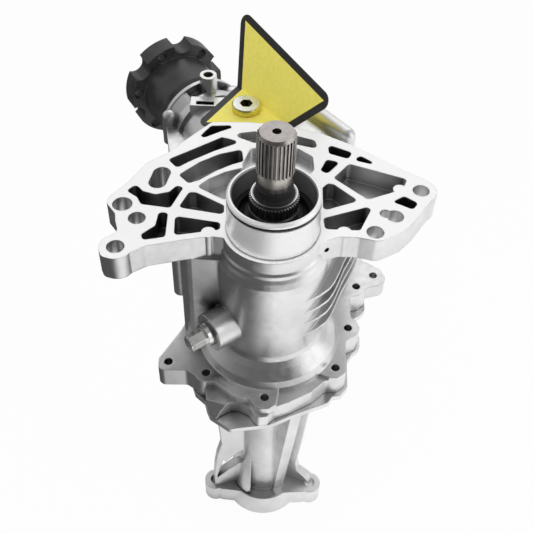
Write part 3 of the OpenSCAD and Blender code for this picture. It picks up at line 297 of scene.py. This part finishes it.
def cast_aluminium():
    s = Shader("cast_aluminium").set(Metallic=1.0)
    split = s.axes()
    height = split["Z"]
    at_face = band(s, height, MOUNTING_FACE_Z - FACE_SLACK, MOUNTING_FACE_Z + FACE_SLACK)
    at_post = band(s, height, POST_TOP_Z - FACE_SLACK, POST_TOP_Z + FACE_SLACK)
    cut = s.math("MULTIPLY", upward(s), s.math("MAXIMUM", at_face, at_post))
    shallow = band(s, height, SHALLOW_FLOOR_Z - FACE_SLACK, MOUNTING_FACE_Z - FACE_SLACK)
    shallow = s.math("MULTIPLY", upward(s), shallow)

    # Shallow floors and drilled bores are kept out of the painted shade
    unshaded_bores = s.math("MULTIPLY", drilled(s), BORE_UNSHADED)
    unshaded = s.math("MAXIMUM", shallow, unshaded_bores)
    # Painted shade in the pockets from ambient occlusion, darker on the left than on the right
    out_of_pockets = s.math("MAXIMUM", openness(s, POCKET_REACH, low=0.15, high=0.85), unshaded)
    # Painted shade in narrow bores and grooves
    out_of_grooves = s.math("MAXIMUM", openness(s, NARROW_REACH, low=0.1, high=0.45), unshaded)

    patches = s.noise(scale=38.0, detail=4.0)
    flow = s.noise(scale=9.0, detail=2.0, stretch=(1, 1, 0.4))
    patches_share = 0.6
    flow_share = 0.4
    skin = s.math("ADD", s.math("MULTIPLY", patches, patches_share), s.math("MULTIPLY", flow, flow_share))
    below = s.mix(s.spread(split["X"], *POCKET_X), grey(POCKET_SHADE_LEFT), grey(POCKET_SHADE_RIGHT))
    painted_pocket_shade = s.mix(s.spread(height, *POCKET_Z), below, grey(POCKET_SHADE_FLANGE))
    tone = s.mix(out_of_pockets, painted_pocket_shade, s.ramp(skin, SKIN_STOPS))
    tone = s.mix(out_of_grooves, grey(NARROW_SHADE), tone)
    tone = s.mix(shallow, tone, grey(SHALLOW_TONE))

    # Painted highlight: a pale tone along the edges
    round_normal = rounded_normal(s, radius=0.0011)
    edge_highlight_share = 0.7
    edges = s.math("MULTIPLY", edge_mask(s, round_normal, low=0.02, high=0.25), edge_highlight_share)
    tone = s.mix(edges, tone, grey(CAST_EDGE_HIGHLIGHT))
    s.drive("Base Color", s.mix(cut, tone, grey(CUT_TONE)))

    cast_rough = s.spread(s.noise(scale=160.0), *HARD_MARKS, *CAST_ROUGHNESS)
    s.drive("Roughness", s.node("Mix", {0: cut, 2: cast_rough, 3: CUT_ROUGHNESS}).outputs[0])
    s.drive("Metallic", s.spread(cut, 0.0, 1.0, 1.0, CUT_METALLIC))

    fine = s.noise(scale=900.0, detail=2.0)
    coarse_share = 2.0
    coarse = s.math("MULTIPLY", s.noise(scale=120.0), coarse_share)
    grain = s.math("MULTIPLY", s.math("ADD", fine, coarse), s.math("SUBTRACT", 1.0, cut))
    s.drive("Normal", s.bump(grain, distance=0.00014, strength=0.5, under=round_normal))
    return s.material


# Tones of a plain metal's dark marks and painted edge highlight, as shares of its own tone
MARK_TONE = 0.86
EDGE_HIGHLIGHT = 1.5

# Its roughness where the marks are smooth and where they are rough, as shares of its own
SMOOTH_MARKS = 0.85
ROUGH_MARKS = 1.2

# How far a metal's edges take on their painted highlight
EDGE_HIGHLIGHT_SHARE = 0.6


def plain_metal(name, tone, roughness, stretch=None, scale=500.0, edge=0.0004):
    s = Shader(name).set(Metallic=1.0)
    low = tuple(channel * MARK_TONE for channel in tone)
    high = tuple(min(1.0, channel * EDGE_HIGHLIGHT) for channel in tone)
    marks = s.noise(scale, stretch=stretch)
    round_normal = rounded_normal(s, edge)
    # Painted highlight along the edges
    edges = s.math("MULTIPLY", edge_mask(s, round_normal), EDGE_HIGHLIGHT_SHARE)
    s.drive("Base Color", s.mix(edges, two_tones(s, marks, low, tone), high))
    vary_roughness(s, marks, roughness * SMOOTH_MARKS, roughness * ROUGH_MARKS)
    s.drive("Normal", s.bump(marks, distance=0.00004, strength=0.4, under=round_normal))
    return s.material


# Radius that parts the spigot's turned outside from its bore, which gets painted shade
SPIGOT_BORE_R = 0.0318

# The spigot is less metallic than the casting, so that its turned sides show white
SPIGOT_METALLIC = 0.6


def spigot_metal():
    s = Shader("spigot_metal").set(Metallic=SPIGOT_METALLIC)
    side = s.math("SUBTRACT", 1.0, upward(s))
    bore = s.math("MULTIPLY", side, s.math("LESS_THAN", from_axis(s), SPIGOT_BORE_R))
    marks = s.noise(scale=30.0, stretch=(1, 1, 30))
    turned = two_tones(s, marks, low=grey(0.95), high=grey(0.99), span=SOFT_MARKS)
    # Painted shade in the bore
    bore_shade = grey(0.30)
    s.drive("Base Color", s.mix(bore, turned, bore_shade))
    vary_roughness(s, marks, low=0.36, high=0.42)
    round_normal = rounded_normal(s, radius=0.0006)
    s.drive("Normal", s.bump(marks, distance=0.00002, strength=0.25, under=round_normal))
    return s.material


# Heights of the link shaft's ground collar under its spline, which is painted pale as a highlight, and the
# reach within which its grooves get painted shade
COLLAR_Z = (0.046, 0.0546)
GROOVE_REACH = 0.002


def dark_shaft():
    s = Shader("dark_shaft").set(Metallic=1.0)
    collar = band(s, s.axes()["Z"], *COLLAR_Z)
    marks = s.noise(scale=260.0, detail=4.0, stretch=(1, 1, 0.35))
    worn = two_tones(s, marks, low=(0.36, 0.335, 0.315), high=(0.56, 0.53, 0.50))
    top = two_tones(s, marks, low=(0.38, 0.35, 0.34), high=(0.50, 0.47, 0.46))
    # Painted shade in the spline's grooves, a ground collar that is partly a painted highlight, and a
    # painted highlight on the edges
    groove_shade = grey(0.05)
    collar_highlight = (0.80, 0.75, 0.70)
    edge_highlight = grey(0.75)
    side = s.mix(openness(s, GROOVE_REACH, low=0.45, high=0.85), groove_shade, worn)
    side = s.mix(collar, side, collar_highlight)
    round_normal = rounded_normal(s, radius=0.0004)
    edges = s.math("MULTIPLY", edge_mask(s, round_normal), EDGE_HIGHLIGHT_SHARE)
    s.drive("Base Color", s.mix(edges, s.mix(upward(s), side, top), edge_highlight))
    vary_roughness(s, marks, low=0.26, high=0.38)
    s.drive("Normal", s.bump(marks, distance=0.00005, strength=0.4, under=round_normal))
    return s.material


# Radii of the input shaft's thin ground rim
RIM_RADII = (0.0159, 0.0168)


def sleeve_steel():
    s = Shader("sleeve_steel").set(Metallic=1.0)
    rim = s.math("MULTIPLY", upward(s), band(s, from_axis(s), *RIM_RADII))
    marks = s.noise(scale=400.0, stretch=(1, 1, 0.2))
    dark = two_tones(s, marks, low=grey(0.30), high=grey(0.42))
    rim_tone = grey(0.92)
    s.drive("Base Color", s.mix(rim, dark, rim_tone))
    vary_roughness(s, marks, low=0.3, high=0.42)
    round_normal = rounded_normal(s, radius=0.0003)
    s.drive("Normal", s.bump(marks, distance=0.00004, strength=0.4, under=round_normal))
    return s.material


# Radius of the filler plug's hexagonal socket
PLUG_SOCKET_R = 0.0052


def zinc_plug():
    s = Shader("zinc_plug").set(Metallic=1.0)
    low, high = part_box("filler_plug")
    away = from_axis(s, (low[0] + high[0]) / 2, (low[1] + high[1]) / 2)
    socket = s.math("LESS_THAN", away, PLUG_SOCKET_R)
    side = s.math("SUBTRACT", 1.0, upward(s))
    marks = s.noise(scale=300.0)
    white = two_tones(s, marks, low=(0.74, 0.76, 0.74), high=(0.86, 0.87, 0.85))
    # Yellow on the sides: yellow zinc, and partly a painted reflection of the tag beside it
    yellow = two_tones(s, marks, low=(0.62, 0.56, 0.20), high=(0.78, 0.72, 0.32))
    # Painted shade in the hexagonal socket
    socket_shade = grey(0.12)
    s.drive("Base Color", s.mix(socket, s.mix(side, white, yellow), socket_shade))
    vary_roughness(s, marks, low=0.24, high=0.36)
    round_normal = rounded_normal(s, radius=0.0005)
    s.drive("Normal", s.bump(marks, distance=0.00005, strength=0.5, under=round_normal))
    return s.material


def satin_black():
    s = Shader("satin_black")
    wear = s.noise(scale=70.0, detail=4.0)
    wear_marks = (0.35, 0.7)
    coat = two_tones(s, wear, low=grey(0.022), high=grey(0.045), span=wear_marks)
    round_normal = rounded_normal(s, radius=0.0008)
    # Painted highlight along the edges
    edge_highlight_share = 0.5
    edge_highlight = grey(0.16)
    edges = s.math("MULTIPLY", edge_mask(s, round_normal), edge_highlight_share)
    s.drive("Base Color", s.mix(edges, coat, edge_highlight))
    vary_roughness(s, wear, low=0.34, high=0.46)
    grain = s.noise(scale=700.0)
    s.drive("Normal", s.bump(grain, distance=0.00005, strength=0.5, under=round_normal))
    return s.material


def rubber():
    s = Shader("rubber")
    speckle = s.noise(scale=600.0)
    s.drive("Base Color", two_tones(s, speckle, low=grey(0.006), high=grey(0.014), span=SOFT_MARKS))
    vary_roughness(s, speckle, low=0.45, high=0.62)
    s.drive("Normal", s.bump(speckle, distance=0.00004, strength=0.4))
    return s.material


# Outline of the folded tag as in the source, and the width of its dark border, in millimetres
TAG_SIDE = 141
TAG_FOLD_FROM = Vector((-36.6, 202.8))
TAG_FOLD_ANGLE = math.radians(-51.4)
TAG_TIP = Vector((-71.7, 139.6))
TAG_EDGE_ANGLE = math.radians(60.9)
TAG_BORDER = 6.2

# Height from which the upright flap's length is measured, and width over which the border ends, in metres
TAG_BASE_Z = -0.0186
TAG_BORDER_BLUR = 0.0003


def tag_edges():
    """The unfolded tag's three edges as a unit normal that points inwards and an offset, in metres."""
    near_angle = TAG_EDGE_ANGLE - math.radians(60)
    far = TAG_TIP + TAG_SIDE * Vector((math.cos(TAG_EDGE_ANGLE), math.sin(TAG_EDGE_ANGLE)))
    near = TAG_TIP + TAG_SIDE * Vector((math.cos(near_angle), math.sin(near_angle)))
    along = Vector((math.cos(TAG_FOLD_ANGLE), math.sin(TAG_FOLD_ANGLE)))
    across = Vector((-along.y, along.x))
    corners = []
    for corner in (TAG_TIP, near, far):
        away = (corner - TAG_FOLD_FROM) * MM
        corners.append(Vector((away.dot(along), away.dot(across))))
    rows = []
    for first, second in zip(corners, corners[1:] + corners[:1]):
        run = (second - first).normalized()
        inward = Vector((-run.y, run.x))
        rows.append((inward, inward.dot(first)))
    return rows, along, across


def tag_card():
    s = Shader("tag_card")
    rows, along, across = tag_edges()
    split = s.axes()
    right = s.math("SUBTRACT", split["X"], TAG_FOLD_FROM.x * MM)
    back = s.math("SUBTRACT", split["Y"], TAG_FOLD_FROM.y * MM)
    on_fold = s.math("ADD", s.math("MULTIPLY", right, along.x), s.math("MULTIPLY", back, along.y))
    off_fold = s.math("ADD", s.math("MULTIPLY", right, across.x), s.math("MULTIPLY", back, across.y))
    rise = s.math("SUBTRACT", split["Z"], TAG_BASE_Z)
    up_flap = s.math("SQRT", s.math("ADD", s.math("POWER", off_fold, 2.0), s.math("POWER", rise, 2.0)))
    on_flap = s.math("GREATER_THAN", off_fold, 0.0)
    unfolded = s.node("Mix", {0: on_flap, 2: off_fold, 3: up_flap}).outputs[0]
    inside = None
    for inward, offset in rows:
        depth = s.math("ADD", s.math("MULTIPLY", on_fold, inward.x), s.math("MULTIPLY", unfolded, inward.y))
        depth = s.math("SUBTRACT", depth, offset)
        inside = depth if inside is None else s.math("MINIMUM", inside, depth)
    border = s.spread(inside, TAG_BORDER * MM, TAG_BORDER * MM + TAG_BORDER_BLUR, 1.0, 0.0)
    fibre = s.noise(scale=300.0, detail=4.0)
    yellow = two_tones(s, fibre, low=(0.93, 0.82, 0.13), high=(0.98, 0.89, 0.19), span=SOFT_MARKS)
    black = two_tones(s, fibre, low=grey(0.02), high=grey(0.03), span=SOFT_MARKS)
    s.drive("Base Color", s.mix(border, yellow, black))
    vary_roughness(s, fibre, low=0.42, high=0.55)
    s.drive("Normal", s.bump(fibre, distance=0.00003, strength=0.3))
    return s.material


def dress_nodes():
    """Gives each node the material of its slot, or its own where it has one."""
    turned = {"stretch": (1, 1, 60), "scale": 40.0, "edge": 0.0006}
    looks = {
        "cast_aluminium": cast_aluminium(),
        "machined_aluminium": plain_metal("turned_aluminium", grey(0.86), roughness=0.26, **turned),
        "black_rubber": rubber(),
        "zinc_plated_steel": plain_metal("zinc", (0.92, 0.92, 0.90), roughness=0.15, scale=120.0),
        "copper_washer": plain_metal("copper", (0.72, 0.45, 0.25), roughness=0.3),
        "gasket_metal": plain_metal("gasket", grey(0.32), roughness=0.5),
        "shaft_steel": plain_metal("shaft_steel", (0.50, 0.46, 0.43), roughness=0.32),
        "gear_steel": plain_metal("gear_steel", grey(0.38), roughness=0.3),
        "bearing_steel": plain_metal("bearing_steel", grey(0.68), roughness=0.18),
        "black_coated_steel": satin_black(),
        "tag_plastic": tag_card(),
    }
    own = {
        "input_shaft": sleeve_steel(),
        "filler_plug": zinc_plug(),
        "spigot": spigot_metal(),
        "link_shaft": dark_shaft(),
    }
    for row in frame["record"]["subparts"]:
        name = row["node"]
        mesh = nodes[name].data
        mesh.materials.clear()
        mesh.materials.append(own.get(name) or looks[row["material_slot"]])


# Gap under the object, half the floor's side, and its own tones and roughness
FLOOR_GAP = 0.0005
FLOOR_HALF = 6.0
FLOOR_TONES = (grey(0.88), grey(0.90))
FLOOR_ROUGHNESS = 0.9

# Share of plain white that the floor shows to the camera and in gloss, the rest keeps the shadow
FLOOR_GLOW = 0.95

# In gloss the white is less on the left: the part of it at the left end, and both ends along X
FLOOR_SHADE = 0.05
FLOOR_SHADE_X = (-0.20, 0.03)


def make_floor():
    low = cad_low.z - FLOOR_GAP
    half = FLOOR_HALF
    mesh = bpy.data.meshes.new("floor")
    corners = [(-half, -half, low), (half, -half, low), (half, half, low), (-half, half, low)]
    mesh.from_pydata(corners, [], [(0, 1, 2, 3)])
    floor = bpy.data.objects.new("floor", mesh)
    scene.collection.objects.link(floor)
    s = Shader("pale_floor").set(Roughness=FLOOR_ROUGHNESS)
    s.drive("Base Color", two_tones(s, s.noise(scale=3.0), *FLOOR_TONES, span=SOFT_MARKS))
    path = s.node("LightPath").outputs
    seen = s.math("ADD", path["Is Camera Ray"], path["Is Glossy Ray"])
    seen = s.math("ADD", seen, path["Is Transmission Ray"], clamp=True)
    lit = s.spread(s.axes()["X"], *FLOOR_SHADE_X, FLOOR_SHADE, 1.0)
    lit = s.math("MAXIMUM", lit, path["Is Camera Ray"])
    glow = s.node("Emission", {"Color": (1, 1, 1, 1), "Strength": lit}).outputs[0]
    share = s.math("MULTIPLY", seen, FLOOR_GLOW)
    blend = s.node("MixShader", {0: share, 1: s.body.outputs[0], 2: glow}).outputs[0]
    s.tree.links.new(blend, s.tree.nodes["Material Output"].inputs["Surface"])
    mesh.materials.append(s.material)


# Point that all lamps face
STUDIO_CENTRE = (0.0, 0.05, -0.1)


def make_light(name, at, size, power, in_gloss):
    """A flat soft lamp: place and size in metres, power in watts, and whether it shows in gloss."""
    data = bpy.data.lights.new(name, "AREA")
    data.shape = "RECTANGLE"
    data.size, data.size_y = size
    data.energy = power
    lamp = bpy.data.objects.new(name, data)
    lamp.location = at
    lamp.rotation_euler = (Vector(STUDIO_CENTRE) - Vector(at)).to_track_quat("-Z", "Y").to_euler()
    lamp.visible_glossy = in_gloss
    scene.collection.objects.link(lamp)


# Brightness of the studio's walls by the direction's Y: dark on the near side, paler at the back
WALL_Y = (-0.7, 0.5)
WALL_NEAR = 0.12
WALL_FAR = 0.6


def make_world():
    """Walls that light the object and show in its gloss, and plain white to the camera."""
    world = bpy.data.worlds.new("studio")
    world.use_nodes = True
    tree = world.node_tree
    place = tree.nodes.new("ShaderNodeTexCoord").outputs["Generated"]
    split = tree.nodes.new("ShaderNodeSeparateXYZ")
    tree.links.new(place, split.inputs[0])
    walls = tree.nodes.new("ShaderNodeMapRange")
    tree.links.new(split.outputs["Y"], walls.inputs["Value"])
    ends = {"From Min": WALL_Y[0], "From Max": WALL_Y[1], "To Min": WALL_NEAR, "To Max": WALL_FAR}
    for name, value in ends.items():
        walls.inputs[name].default_value = value
    background = tree.nodes["Background"]
    background.inputs["Color"].default_value = (1, 1, 1, 1)
    seen = tree.nodes.new("ShaderNodeMath")
    seen.operation = "MAXIMUM"
    tree.links.new(walls.outputs[0], seen.inputs[0])
    tree.links.new(tree.nodes.new("ShaderNodeLightPath").outputs["Is Camera Ray"], seen.inputs[1])
    tree.links.new(seen.outputs[0], background.inputs["Strength"])
    scene.world = world


def make_lights():
    make_light("key", at=(-0.3, -0.5, 1.6), size=(1.1, 1.1), power=10, in_gloss=False)
    make_light("fill", at=(1.3, -0.3, 0.5), size=(1.2, 1.4), power=5, in_gloss=True)
    make_light("back", at=(0.1, 1.4, 0.9), size=(1.5, 1.0), power=3, in_gloss=True)
    make_light("front", at=(-0.2, -1.3, 0.8), size=(1.2, 1.0), power=9, in_gloss=False)


scene.view_settings.view_transform = "Standard"
make_camera()
make_world()
make_lights()
make_floor()
dress_nodes()
